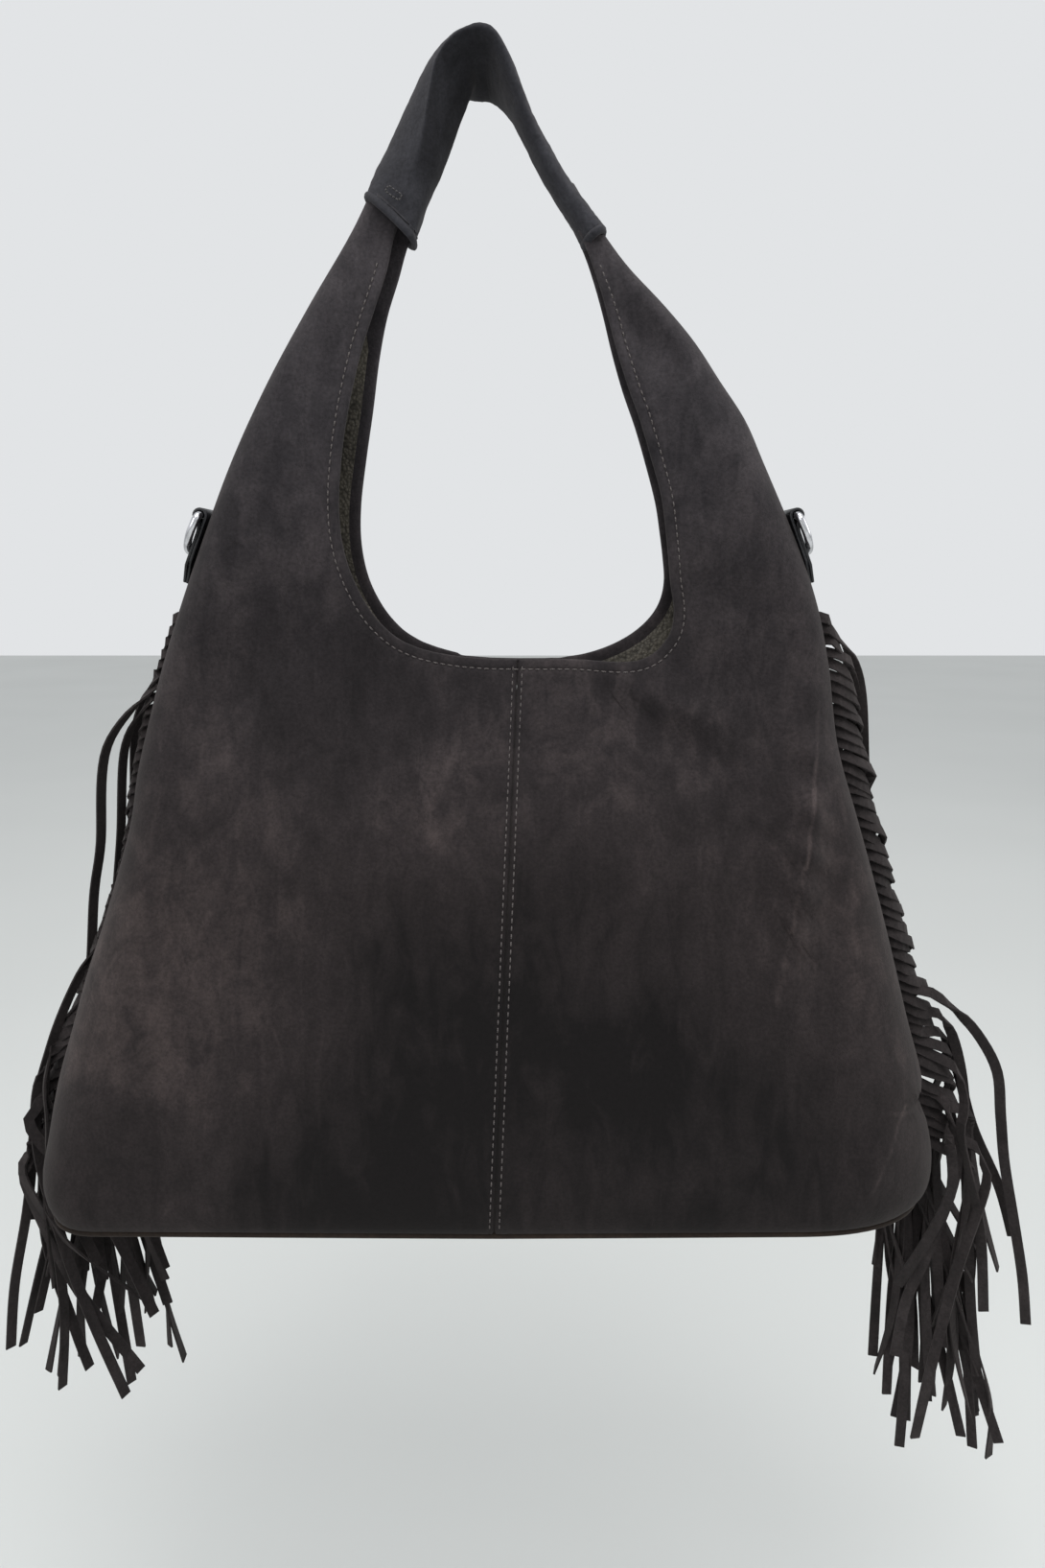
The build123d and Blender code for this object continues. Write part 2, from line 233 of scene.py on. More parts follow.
# Microfibre suede, brushed: rough and almost without shine, with blotches where the nap lies other ways; it can also
# carry painted light and painted shade: lit and shaded spots, a lighter top and a darker strap underside
def suedeFinish(name, dark, light, warm, nap, rubAndLightSpots=(), paintedTopLight=0.0, rubs=(), mottle=1.0, shadeUnder=0.0):
    finish, tree, place = newFinish(name)
    blotch = addNoise(tree, place, 13.0, 5.0, 0.62, 0.6)  # patches about 80 mm wide
    patch = addNoise(tree, place, 40.0, 5.0, 0.66, 1.4)  # hand marks about 20 mm wide
    turned = addNode(tree, "Mapping", {"Rotation": (0.0, 0.6, 0.0), "Scale": (1.0, 1.0, 0.3)}, {"Vector": place})
    brushed = addNoise(tree, turned.outputs[0], 105.0, 4.0, 0.62, 0.8)  # strokes of the hand
    speck = addNoise(tree, place, 720.0, 3.0, 0.7)
    fibre = addNoise(tree, place, 2200.0, 2.0)
    level = addMath(tree, "MULTIPLY_ADD", blotch, 0.32 * mottle, 0.56 - 0.51 * mottle)
    level = addMath(tree, "MULTIPLY_ADD", patch, 0.33 * mottle, level)
    level = addMath(tree, "MULTIPLY_ADD", brushed, 0.37 * mottle, level)
    # painted light and painted shade, with some rubbed nap: each spot lightens or darkens the suede around it
    for spot, radius, amount in rubAndLightSpots:
        far = addNode(tree, "VectorMath", {"operation": "DISTANCE", 1: [v * mm for v in spot]}, {0: place})
        near = addRange(tree, far.outputs["Value"], radius * mm, 0.2 * radius * mm, 0.0, amount, True)
        level = addMath(tree, "ADD", level, addMath(tree, "MULTIPLY", near, patch))
    if rubs or paintedTopLight:
        apart = addNode(tree, "SeparateXYZ", {}, {"Vector": place}).outputs
    if rubs:
        worn = addRange(tree, brushed, 0.35, 0.6, 0.35, 1.0)
        onFront = addMath(tree, "MULTIPLY", addMath(tree, "LESS_THAN", apart["Y"], 0.0), worn)
        for start, end, width, amount in rubs:
            line = nearLine(tree, place, start, end, width, amount)
            level = addMath(tree, "ADD", level, addMath(tree, "MULTIPLY", line, onFront))
    if shadeUnder:  # painted shade: the strap's underside is made darker, where it faces away from the light
        shadeUnderNode = addNode(tree, "Attribute", {"attribute_name": "undersideShade"})
        level = addMath(tree, "MULTIPLY_ADD", shadeUnderNode.outputs["Fac"], shadeUnder, level)
    # painted light: the suede grows lighter towards the top, where the ceiling light falls
    if paintedTopLight:
        level = addMath(tree, "ADD", level, addRange(tree, apart["Z"], -0.31, -0.05, 0.0, paintedTopLight, True))
    colour = addRamp(tree, level, (0.36, dark), (0.78, light), (0.56, warm))
    grain = addRange(tree, speck, 0.3, 0.7, 0.70, 1.30)
    colour = addNode(tree, "VectorMath", {"operation": "SCALE"}, {0: colour, "Scale": grain}).outputs[0]
    if paintedTopLight:  # the upper part is greyer, the lower part browner
        cool = addNode(tree, "Mix", {"data_type": "VECTOR", 4: (1.03, 0.99, 0.95), 5: (0.91, 1.0, 1.08)})
        tree.links.new(addRange(tree, apart["Z"], -0.34, -0.14, 0.0, 1.0), cool.inputs[0])
        colour = addNode(tree, "VectorMath", {"operation": "MULTIPLY"}, {0: colour, 1: cool.outputs[1]}).outputs[0]
    height = addMath(tree, "MULTIPLY_ADD", fibre, 0.5, speck)
    endFinish(tree, {"Roughness": 0.93, "Specular IOR Level": 0.18, "Sheen Weight": 0.12, "Sheen Roughness": 0.55,
                     "Sheen Tint": linearOf("#a39c98")},
              {"Base Color": colour, "Normal": addBump(tree, height, nap, 0.0004)})
    return finish


# Cloth coated and pressed with a pebble grain: a dull skin of rounded bumps, with painted shade darkening the
# creases between them
def pebbleFinish(name, low, high, cell, rough, strength):
    finish, tree, place = newFinish(name)
    warp = addNode(tree, "TexNoise", {"Scale": 1000.0 / (cell * 3), "Detail": 2.0}, {"Vector": place})
    nudge = addNode(tree, "VectorMath", {"operation": "MULTIPLY_ADD", 1: (cell * mm * 0.8,) * 3, 2: (0, 0, 0)},
                    {0: warp.outputs["Color"]})
    moved = addNode(tree, "VectorMath", {"operation": "ADD"}, {0: place, 1: nudge.outputs[0]})
    cells = addNode(tree, "TexVoronoi", {"Scale": 1000.0 / cell, "feature": "SMOOTH_F1", "Smoothness": 0.5},
                    {"Vector": moved.outputs[0]}).outputs["Distance"]
    # painted shade: the colour darkens towards the creases between the pebbles
    blend = addMath(tree, "MULTIPLY_ADD", cells, -0.55, addNoise(tree, place, 30.0, 4.0))
    endFinish(tree, {"Roughness": rough, "Specular IOR Level": 0.4},
              {"Base Color": addRamp(tree, blend, (0.05, low), (0.5, high)),
               "Normal": addBump(tree, cells, strength, 0.0005, True)})
    return finish


# Plain woven polyester: two sets of threads crossing, with a faint dull shine
def wovenFinish(name, low, high, pitch):
    finish, tree, place = newFinish(name)
    across, along = [
        addNode(tree, "TexWave", {"bands_direction": way, "Scale": 314.0 / pitch, "Distortion": 0.6},
                {"Vector": place}).outputs["Fac"] for way in ("X", "Z")]
    crossed = addMath(tree, "MULTIPLY", across, along)
    blend = addMath(tree, "MULTIPLY_ADD", crossed, 0.4, addNoise(tree, place, 25.0, 4.0))
    endFinish(tree, {"Roughness": 0.85, "Specular IOR Level": 0.25},
              {"Base Color": addRamp(tree, blend, (0.3, low), (0.9, high)),
               "Normal": addBump(tree, crossed, 0.35, 0.0002)})
    return finish


# Plated metal, tumbled smooth: bright, with small polishing marks and a few dull spots
def metalFinish(name, tint, worn, rough):
    finish, tree, place = newFinish(name)
    spots = addNoise(tree, place, 260.0, 4.0)
    endFinish(tree, {"Metallic": 1.0}, {"Base Color": addRamp(tree, spots, (0.35, worn), (0.6, tint)),
                                        "Roughness": addRange(tree, spots, 0.0, 1.0, rough, rough + 0.14)})
    return finish


# Twisted polyester sewing thread: slanting ply lines with a slight shine
def threadFinish(name, low, high):
    finish, tree, place = newFinish(name)
    ply = addNode(tree, "TexWave", {"bands_direction": "DIAGONAL", "Scale": 700.0}, {"Vector": place})
    endFinish(tree, {"Roughness": 0.6, "Specular IOR Level": 0.4},
              {"Base Color": addRamp(tree, ply.outputs["Fac"], (0.2, low), (0.9, high))})
    return finish


# Grey fibre board: pressed fibres, matt and slightly rough
def boardFinish(name, low, high):
    finish, tree, place = newFinish(name)
    fibres = addNoise(tree, place, 500.0, 6.0, 0.7)
    endFinish(tree, {"Roughness": 0.9}, {"Base Color": addRamp(tree, fibres, (0.35, low), (0.65, high)),
                                         "Normal": addBump(tree, fibres, 0.2, 0.0002)})
    return finish


creaseRubs = [  # start, end, width and strength of the rubbed lines on the front
    ((143, 0, -261), (139.5, 0, -298), 1.5, 0.17), ((139.5, 0, -298), (134.5, 0, -329), 1.6, 0.21),
    ((134.5, 0, -329), (127.5, 0, -354), 1.9, 0.12), ((127.5, 0, -354), (121, 0, -382), 2.8, 0.07),
    ((178, 0, -430), (162, 0, -462), 2.0, 0.16), ((188, 0, -437), (170, 0, -431), 2.0, 0.10),
    ((100, 0, -268), (58, 0, -250), 6.0, 0.05), ((-30, 0, -278), (-22, 0, -318), 4.5, 0.07),
    ((-14, 0, -284), (-26, 0, -312), 4.0, 0.06),
]
rubAndPaintedLightSpots = [  # centre, reach and strength: a few lighter spots where hands rub, the rest painted light on the sides that face the lamps and painted shade over the lower middle and low corners
    ((-20, -36, -300), 52, 0.13), ((30, -50, -440), 150, -0.30), ((4, -45, -368), 100, -0.13),
    ((-165, -25, -385), 90, 0.20), ((158, -30, -350), 80, 0.06), ((-165, -40, -450), 60, -0.14),
    ((-55, -14, -262), 62, -0.16), ((66, -50, -418), 46, -0.14), ((-60, -48, -474), 84, -0.26),
    ((44, -50, -372), 30, 0.14), ((84, -50, -440), 44, 0.14), ((120, -48, -474), 90, -0.20),
    ((40, -20, -262), 44, 0.12), ((100, 48, -380), 120, -0.16), ((-70, 40, -300), 80, 0.14),
]
# the body suede carries painted light and painted shade: the spots, and a lighter top
bodySuede = suedeFinish("bodySuede", "#0c0a0b", "#3f3838", "#242021", 0.4, rubAndPaintedLightSpots, 0.115, creaseRubs, 0.78)
# the sleeve's suede takes painted shade on the strap's underside
sleeveSuede = suedeFinish("sleeveSuede", "#131316", "#3f3f44", "#2c2c30", 0.3, mottle=0.6, shadeUnder=0.12)
fringeSuede = suedeFinish("fringeSuede", "#181616", "#3a3535", "#262222", 0.25)
baseSuede = suedeFinish("baseSuede", "#16110e", "#2e251e", "#211a15", 0.4)
facingGrain = pebbleFinish("facingGrain", "#2d2a25", "#5d584f", 1.3, 0.62, 0.7)
tabGrain = pebbleFinish("tabGrain", "#0d0d0f", "#222226", 0.8, 0.45, 0.25)
liningWeave = wovenFinish("liningWeave", "#1d1a18", "#3a3531", 0.6)
ringChrome = metalFinish("ringChrome", "#d6d6da", "#b5b5b8", 0.08)
snapNickel = metalFinish("snapNickel", "#b8b4ac", "#8f8a82", 0.22)
washerSteel = metalFinish("washerSteel", "#8d8d8d", "#6d6a66", 0.35)
seamThread = threadFinish("seamThread", "#353130", "#5f5957")
darkThread = threadFinish("darkThread", "#2b2929", "#4a4747")
baseFibre = boardFinish("baseFibre", "#4a4743", "#6d6963")
print("finishes made")


# Shape of the filled bag: (height, value) from the top down

bag = {
    "left": [(-40, -43), (-64, -55), (-95, -74), (-126, -92), (-158, -108), (-191, -121.5), (-224, -134),
             (-249, -142.5), (-271, -148.5), (-292, -153.5), (-314, -157), (-336, -163), (-359, -170),
             (-381, -177.5), (-404, -184), (-427, -190.5), (-451, -195), (-468, -197.5), (-484, -193)],
    "right": [(-40, 34), (-56, 44), (-64, 49), (-79, 60.5), (-95, 76), (-110, 89), (-126, 100), (-142, 111),
              (-158, 118.5), (-191, 133.5), (-207, 140), (-224, 145.5), (-247, 150.5), (-263, 152.5),
              (-278, 154.5), (-291, 157.5), (-309, 163), (-338, 171.5), (-370, 180), (-402, 188),
              (-424, 194.2), (-430, 194.8), (-436, 192.6), (-445, 197), (-451, 199), (-463, 201),
              (-475, 200), (-484, 194)],
    "depth": [(-40, 7), (-64, 8.5), (-95, 13), (-126, 16.5), (-158, 18.5), (-191, 19), (-224, 17.5),
              (-247, 16.5), (-272, 20), (-300, 27), (-336, 34), (-395, 45), (-451, 52.5), (-470, 54),
              (-479, 52.5), (-484, 48.5)],
    "pinch": [(-200, 19), (-224, 12), (-244, 6), (-272, 7.5), (-300, 19), (-336, 35), (-395, 47.5), (-451, 54),
              (-470, 55.5), (-479, 54), (-484, 50)],
    "leftCorner": [(-40, 7), (-95, 12), (-158, 17), (-224, 17), (-272, 19), (-336, 29), (-395, 36), (-451, 36),
                   (-484, 30)],
    "rightCorner": [(-40, 7), (-95, 12), (-158, 17), (-224, 17), (-272, 19), (-336, 29), (-395, 38), (-430, 44),
                    (-460, 58), (-484, 66)],
    "foot": -481.5,
    "seamTop": (14.0, -244.0),
    "seamFoot": (4.0, -484.0),
    "foldGain": 2.0,
    "broadSag": 2.3,
    "smallSag": 0.85,
}

# Soft folds: face, line of (x, z), height outwards, half width
folds = [
    (-1, [(143, -258), (139, -302), (134, -330), (127, -355), (122, -384)], 3.4, 5.0),
    (-1, [(153, -258), (151, -300), (147, -345)], -2.4, 7.0),
    (-1, [(128, -268), (124, -310), (116, -350)], -1.4, 9.0),
    (-1, [(54, -252), (80, -262), (106, -276)], 2.2, 5.5),
    (-1, [(60, -264), (86, -278), (108, -298)], -2.2, 8.0),
    (-1, [(60, -100), (68, -110), (78, -122)], -2.2, 5.0),
    (-1, [(68, -92), (78, -104), (88, -116)], 1.2, 5.0),
    (-1, [(96, -112), (104, -130), (112, -150)], -1.4, 6.0),
    (-1, [(84, -196), (96, -214), (118, -226)], -1.2, 8.0),
    (-1, [(72, -140), (84, -158), (92, -180)], -1.4, 9.0),
    (-1, [(160, -426), (172, -430), (190, -436)], -2.6, 4.0),
    (-1, [(180, -424), (170, -440), (158, -468)], 2.0, 5.0),
    (-1, [(150, -418), (166, -420), (184, -422)], 1.2, 6.0),
    (-1, [(-60, -236), (-84, -262), (-112, -292)], 1.1, 10.0),
    (-1, [(-74, -232), (-100, -250), (-128, -268)], -1.0, 10.0),
    (-1, [(-160, -330), (-150, -362), (-146, -400)], 1.2, 12.0),
    (-1, [(-180, -452), (-150, -462), (-110, -466)], -1.0, 8.0),
    (-1, [(-30, -280), (-24, -306), (-14, -330)], 0.8, 9.0),
    (-1, [(40, -372), (62, -388), (90, -398)], -0.9, 12.0),
    (1, [(-120, -262), (-116, -304), (-122, -350)], 2.0, 9.0),
    (1, [(118, -270), (128, -310), (130, -352)], 1.8, 9.0),
    (1, [(-40, -256), (-74, -270), (-100, -292)], -1.2, 9.0),
    (1, [(150, -440), (168, -432), (184, -430)], -1.4, 7.0),
    (1, [(-170, -446), (-150, -438), (-126, -440)], 1.2, 8.0),
]


def seamX(z):
    (x0, z0), (x1, z1) = bag["seamTop"], bag["seamFoot"]
    return mix(x0, x1, min(max((z - z0) / (z1 - z0), 0.0), 1.0))


# Height of the folds at a point; a fold too far off is passed over
def foldHeight(x, z, side):
    total = 0.0
    for face, line, height, half in folds:
        if face != side or abs(x - line[1][0]) > 90 or abs(z - line[1][1]) > 110:
            continue
        best, along = math.inf, 0.0
        for k in range(8):
            u = k * (len(line) - 1) / 7
            px, pz = curveAt(line, u)
            gap = math.hypot(x - px, z - pz)
            if gap < best:
                best, along = gap, u / (len(line) - 1)
        reach = half * 1.6
        if best < 3 * reach:
            total += height * math.exp(-(best / reach) ** 2) * (0.35 + 0.65 * math.sin(math.pi * along))
    return bag["foldGain"] * total


def sagNoise(x, z, side):
    broad = noise.noise(Vector((x / 62.0, side * 7.3, z / 74.0)))
    small = noise.noise(Vector((x / 23.0 + 9.1, side * 3.1, z / 27.0)))
    return bag["broadSag"] * broad + bag["smallSag"] * small


# How far the outer cloth stands from the middle plane
def depthAt(x, z, side, edgeGap=60.0):
    left, right = lineAt(bag["left"], z), lineAt(bag["right"], z)
    fromSide = max(min(x - left, right - x), 0.0)
    power = mix(2.05, 2.5, ease((-z - 220) / 240))
    corner = bag["leftCorner"] if x - left < right - x else bag["rightCorner"]
    q = min(fromSide / lineAt(corner, z), 1.0)
    shoulder = max(1 - (1 - q) ** power, 0.0) ** (1 / power)
    middle = seamX(z)
    half = (middle - left) if x < middle else (right - middle)
    away = min(abs(x - middle) / max(half * 0.82, 1.0), 1.0)
    full = mix(lineAt(bag["pinch"], z), lineAt(bag["depth"], z), away ** 1.15) if z < -200 \
        else lineAt(bag["depth"], z)
    full *= 1 - 0.34 * math.exp(-edgeGap / 17.0)
    calm = q * ease((z - bag["foot"]) / 26.0) * ease((-z - 62) / 40.0)
    waves = (foldHeight(x, z, side) + sagNoise(x, z, side) * (1 - 0.8 * math.exp(-edgeGap / 12.0))) * calm
    return full * shoulder + waves * shoulder


# Matching points of the opening's edge and of the outline: (edge x, edge z), then side height or base x

frontEdge = [
    ((-29, -50), "left", -46), ((-36.9, -66), "left", -62), ((-40.7, -82), "left", -82),
    ((-45.6, -97), "left", -103), ((-51.5, -115), "left", -127), ((-56.6, -136), "left", -153),
    ((-60, -156), "left", -180), ((-61.7, -176), "left", -208), ((-60.6, -194), "left", -240),
    ((-56, -210), "left", -278), ((-48.6, -224), "left", -326), ((-39.5, -233.6), "left", -380),
    ((-31, -238.2), "left", -425), ((-24, -240.4), "left", -455), ((-20.4, -241.2), "left", -470),
    ((-18, -241.6), "left", -478), ((-16.5, -241.9), "base", -191), ((-14.5, -242.2), "base", -183),
    ((-11, -242.7), "base", -160), ((-7, -243.1), "base", -120), ((-3.5, -243.4), "base", -75),
    ((-0.5, -243.6), "base", -35), ((2, -243.8), "seam", -12),
    ((14, -244), "seam", 0), ((26, -244), "seam", 12), ((29, -243.9), "base", 40), ((32.5, -243.9), "base", 80),
    ((36, -243.9), "base", 125), ((39.5, -244), "base", 165), ((42.5, -244.1), "base", 188),
    ((44.5, -244.2), "base", 195), ((46.5, -244.4), "right", -477), ((49.5, -244.6), "right", -468),
    ((54, -244.9), "right", -446), ((60, -245), "right", -402), ((66.5, -244.2), "right", -350),
    ((72.5, -241.5), "right", -306), ((77.4, -236.5), "right", -274), ((80.6, -230), "right", -252),
    ((81.2, -221), "right", -230), ((79.4, -210), "right", -208), ((77.6, -194), "right", -185),
    ((75, -175), "right", -163), ((70.6, -159), "right", -145), ((65.6, -143), "right", -130),
    ((60, -128), "right", -114), ((55, -112), "right", -99), ((51, -97), "right", -85),
    ((47, -84), "right", -74), ((42.5, -72), "right", -65), ((36.5, -60), "right", -56), ((30, -48), "right", -46),
]
backEdge = [
    ((-23, -48), "left", -46), ((-32.2, -67), "left", -62), ((-37.2, -82), "left", -82),
    ((-42.4, -97), "left", -103), ((-46.4, -115), "left", -127), ((-49.6, -136), "left", -153),
    ((-53, -156), "left", -180), ((-55.8, -176), "left", -208), ((-56, -193), "left", -240),
    ((-53, -208), "left", -278), ((-46.6, -221), "left", -326), ((-38.6, -230.4), "left", -380),
    ((-30.6, -235.8), "left", -425), ((-23.8, -238.6), "left", -455), ((-20, -239.8), "left", -470),
    ((-17.4, -240.5), "left", -478), ((-15.6, -241), "base", -191), ((-13.2, -241.6), "base", -183),
] + frontEdge[18:27] + [
    ((36, -243.3), "base", 125), ((39.5, -242.8), "base", 165), ((42.5, -242.3), "base", 188),
    ((44.7, -241.8), "base", 195), ((47, -241.2), "right", -477), ((50, -240.3), "right", -468),
    ((54.4, -238.7), "right", -446), ((60.2, -236), "right", -402), ((66, -232.4), "right", -350),
    ((71.2, -228), "right", -306), ((75.4, -222.8), "right", -274), ((78.2, -216.6), "right", -252),
    ((79.4, -209), "right", -230), ((78.8, -200), "right", -208), ((77.2, -188), "right", -185),
] + frontEdge[42:]
panel = {
    "hem": 2.4,  # thickness of the turned edge
    "seamColumns": [0.0, 0.5, 0.95, 1.4, 2.0, 2.6, 3.4, 4.6, 6.6, 9.2, 12.0],
    "edgeRows": [0.4, 1.0, 1.7, 2.5, 3.2, 3.7, 4.2, 4.8, 5.8, 7.5, 10.0, 13.0],
    "fieldRows": 34,
    "mouthStitch": 4.0,  # the stitches' distance from the mouth's edge
    "seamStitch": 2.0,  # and from the centre seam
}


def outlinePoint(kind, value):
    if kind == "base":
        return (value, bag["foot"])
    if kind == "seam":
        return (seamX(bag["foot"]) + value, bag["foot"])
    return (lineAt(bag[kind], value), value)


# Columns of one half, each an edge point, an outline point and whether it runs beside the seam
def columnsFor(edge, half):
    middle = next(i for i, e in enumerate(edge) if e[1] == "seam" and e[2] == 0)
    chosen = edge[:middle] if half == "left" else edge[middle + 1:]
    ends = [e[0] for e in chosen]
    outs = [outlinePoint(e[1], e[2]) for e in chosen]
    columns = []
    for i in range(len(chosen) - 1):
        span = math.dist(outs[i], outs[i + 1])
        steps = max(2, round(span / 4.5), round(math.dist(ends[i], ends[i + 1]) / 4.0))
        for k in range(steps):
            u = i + k / steps
            out = curveAt(outs, u)
            if chosen[i][1] in ("left", "right") and chosen[i + 1][1] == chosen[i][1]:
                out[0] = lineAt(bag[chosen[i][1]], out[1])
            columns.append((curveAt(ends, u), out, False))
    columns.append((list(ends[-1]), list(outs[-1]), False))
    sign = -1 if half == "left" else 1
    topX, topZ = bag["seamTop"]
    beside = [((topX + sign * s, mix(topZ, chosen[-1 if half == "left" else 0][0][1], s / panel["seamColumns"][-1])),
               outlinePoint("seam", sign * s), True) for s in panel["seamColumns"]]
    if half == "left":
        return columns[:-1] + beside[::-1]
    return beside + columns[1:]


# Path of a column as (x, z, distance from the edge), from the edge to the outline
def alongColumn(columns, i):
    (ex, ez), (bx, bz), beside = columns[i]
    (px, pz), (qx, qz) = columns[max(i - 1, 0)][0], columns[min(i + 1, len(columns) - 1)][0]
    tx, tz = qx - px, qz - pz
    size = math.hypot(tx, tz)
    nx, nz = tz / size, -tx / size
    if nx * (bx - ex) + nz * (bz - ez) < 0:
        nx, nz = -nx, -nz
    length = math.hypot(bx - ex, bz - ez)
    if beside:
        nx, nz = (bx - ex) / length, (bz - ez) / length
    squeeze = min(1.0, 0.55 * length / panel["edgeRows"][-1])
    path = [(ex + nx * d * squeeze, ez + nz * d * squeeze, d * squeeze) for d in panel["edgeRows"]]
    mx, mz, far = path[-1]
    for k in range(1, panel["fieldRows"] + 1):
        t = 1 - (1 - k / panel["fieldRows"]) ** 1.9
        x, z = mix(mx, bx, t), mix(mz, bz, t)
        path.append((x, z, far + t * math.hypot(bx - mx, bz - mz)))
    return (ex, ez), (nx, nz), path


# A soft ridge across a line at row, or a groove where the height is negative
def ridgeAt(gap, row, height, width):
    return height * math.exp(-((gap - row) / width) ** 2)


# How far the suede is turned in: a narrow hem at the mouth, more towards the strap
def hemReach(z, length):
    return min(6.0 + max((z + 112) * 0.34, 0.0), 0.7 * length)


# One suede panel, from its turned hem over the face to the side seam or the base
def outerPanel(name, edge, half, side, node):
    columns = columnsFor(edge, half)
    hem, stitchRow, seamRow = panel["hem"], panel["mouthStitch"], panel["seamStitch"]
    points = []
    for i in range(len(columns)):
        (ex, ez), (nx, nz), path = alongColumn(columns, i)
        column = []
        edgeY = depthAt(ex + nx * 0.4, ez + nz * 0.4, side, 0.4)
        reach = hemReach(ez, path[-1][2])
        for d, down in ((reach, hem), (reach * 0.5, hem + 0.1), (0.9, hem), (0.1, hem * 0.86),
                        (-0.35, hem * 0.5), (0.0, 0.25)):
            inner = depthAt(ex + nx * d, ez + nz * d, side, d) - down if d > 1 else edgeY - down
            column.append((ex + nx * d, inner, ez + nz * d))
        for x, z, gap in path:
            y = depthAt(x, z, side, gap)
            fade = ease(min(x - lineAt(bag["left"], z), lineAt(bag["right"], z) - x) / 8.0)
            y += fade * (ridgeAt(gap, 2.0, 0.28, 1.4) + ridgeAt(gap, stitchRow, -0.34, 0.6)
                         + ridgeAt(gap, 5.8, 0.2, 1.6))
            beside = abs(x - seamX(z))
            if z < bag["seamTop"][1] + 1 and beside < 14:
                y += (ridgeAt(beside, 0.0, -1.1, 0.7) + ridgeAt(beside, 1.2, 0.3, 0.7)
                      + ridgeAt(beside, seamRow, -0.34, 0.5) + ridgeAt(beside, 3.6, 0.22, 1.6))
            column.append((x, y, z))
        lastX, lastY, lastZ = column[-1]
        if lastZ > bag["foot"] + 0.5:  # side seam allowance turned in
            inward = 1 if lastX < 0 else -1
            column.append((lastX + inward * 2.5, 0.3, lastZ))
        else:
            column.append((lastX, lastY - 2.5, lastZ + 0.3))
        points.append(column)
    seamEnd = points[-1] if half == "left" else points[0]
    tuck = [(x, y - 2.2, z) for x, y, z in seamEnd]
    points = points + [tuck] if half == "left" else [tuck] + points
    placed = [(x, side * y, z) for column in points for x, y, z in column]
    piece = newPiece(name, placed, gridFaces(len(points[0]), len(points), side < 0), bodySuede)
    tidyMesh(piece)
    return standFor(piece, node)


facing = {"inset": 2.9, "depth": 42.0, "rows": 14}
lining = {"inset": 3.3, "start": 38.0, "floor": -477.8, "rows": 26}


# Facing or lining: the same columns inside the suede. A lining runs on over the floor
def innerPiece(name, edge, side, node):
    columns = columnsFor(edge, "left")[:-1] + columnsFor(edge, "right")
    isLining = node.startswith("lining")
    sizes = lining if isLining else facing
    inset, rows, floorZ = sizes["inset"], sizes["rows"], lining["floor"]
    points = []
    for i in range(len(columns)):
        path = alongColumn(columns, i)[2]
        total = path[-1][2]
        if isLining:
            first, last = min(lining["start"], total * 0.88), total * 0.985
        else:
            first = min(hemReach(columns[i][0][1], total) - 1.2, total * 0.6)
            last = min(facing["depth"], total * 0.94)
        column = []
        for k in range(rows):
            gap = mix(first, last, k / (rows - 1))
            j = next((n for n in range(len(path) - 1) if path[n + 1][2] >= gap), len(path) - 2)
            (xa, za, ga), (xb, zb, gb) = path[j], path[j + 1]
            t = (gap - ga) / max(gb - ga, 1e-6)
            x, z = mix(xa, xb, t), mix(za, zb, t)
            if isLining:
                z = max(z, floorZ)
            x = min(max(x, lineAt(bag["left"], z) + inset), lineAt(bag["right"], z) - inset)
            column.append((x, max(depthAt(x, z, side, gap) - inset, 0.15), z))
        if isLining:
            x, y, z = column[-1]
            column += [(x, y * share, z if z > floorZ + 6 else floorZ) for share in (0.75, 0.5, 0.25, 0.0)]
        points.append(column)
    placed = [(x, side * y, z) for column in points for x, y, z in column]
    finish = liningWeave if isLining else facingGrain
    piece = newPiece(name, placed, gridFaces(len(points[0]), len(points), side > 0), finish)
    tidyMesh(piece)
    return standFor(piece, node)


panels = [
    outerPanel("frontPanelLeft", frontEdge, "left", -1, "front_panel_left"),
    outerPanel("frontPanelRight", frontEdge, "right", -1, "front_panel_right"),
    outerPanel("backPanelLeft", backEdge, "left", 1, "back_panel_left"),
    outerPanel("backPanelRight", backEdge, "right", 1, "back_panel_right"),
]
print("panels made")

facingFront = innerPiece("facingFront", frontEdge, -1, "facing_front")
facingBack = innerPiece("facingBack", backEdge, 1, "facing_back")
liningFront = innerPiece("liningFront", frontEdge, -1, "lining_front")
liningBack = innerPiece("liningBack", backEdge, 1, "lining_back")
print("facings and linings made")


# Base: a closed sheet under the bag, with the board on it. Out is how far each stands past the outline

base = {
    "panel": {"top": -481.3, "bottom": -484.0, "out": 0.8, "edge": 0.9},
    "board": {"top": -479.5, "bottom": -481.2, "out": -2.6, "edge": 0.4},
    "points": 150,
    "inner": (0.02, 0.3, 0.6, 0.85, 0.96),  # rings across the flat faces, as shares of the outline
}


# The bag's outline at its foot, grown outwards
def planOutline(out):
    z = bag["foot"]
    left, right = lineAt(bag["left"], z), lineAt(bag["right"], z)
    ring = []
    half = base["points"] // 2
    for side in (-1, 1):
        for k in range(half):
            share = 0.5 - 0.5 * math.cos(math.pi * k / half)
            x = mix(left, right, share) if side < 0 else mix(right, left, share)
            ring.append((x, side * depthAt(x, z, side)))
    grown = []
    for i, (x, y) in enumerate(ring):
        (ax, ay), (bx, by) = ring[i - 1], ring[(i + 1) % len(ring)]
        tx, ty = bx - ax, by - ay
        size = math.hypot(tx, ty)
        grown.append((x + ty / size * out, y - tx / size * out))
    return grown


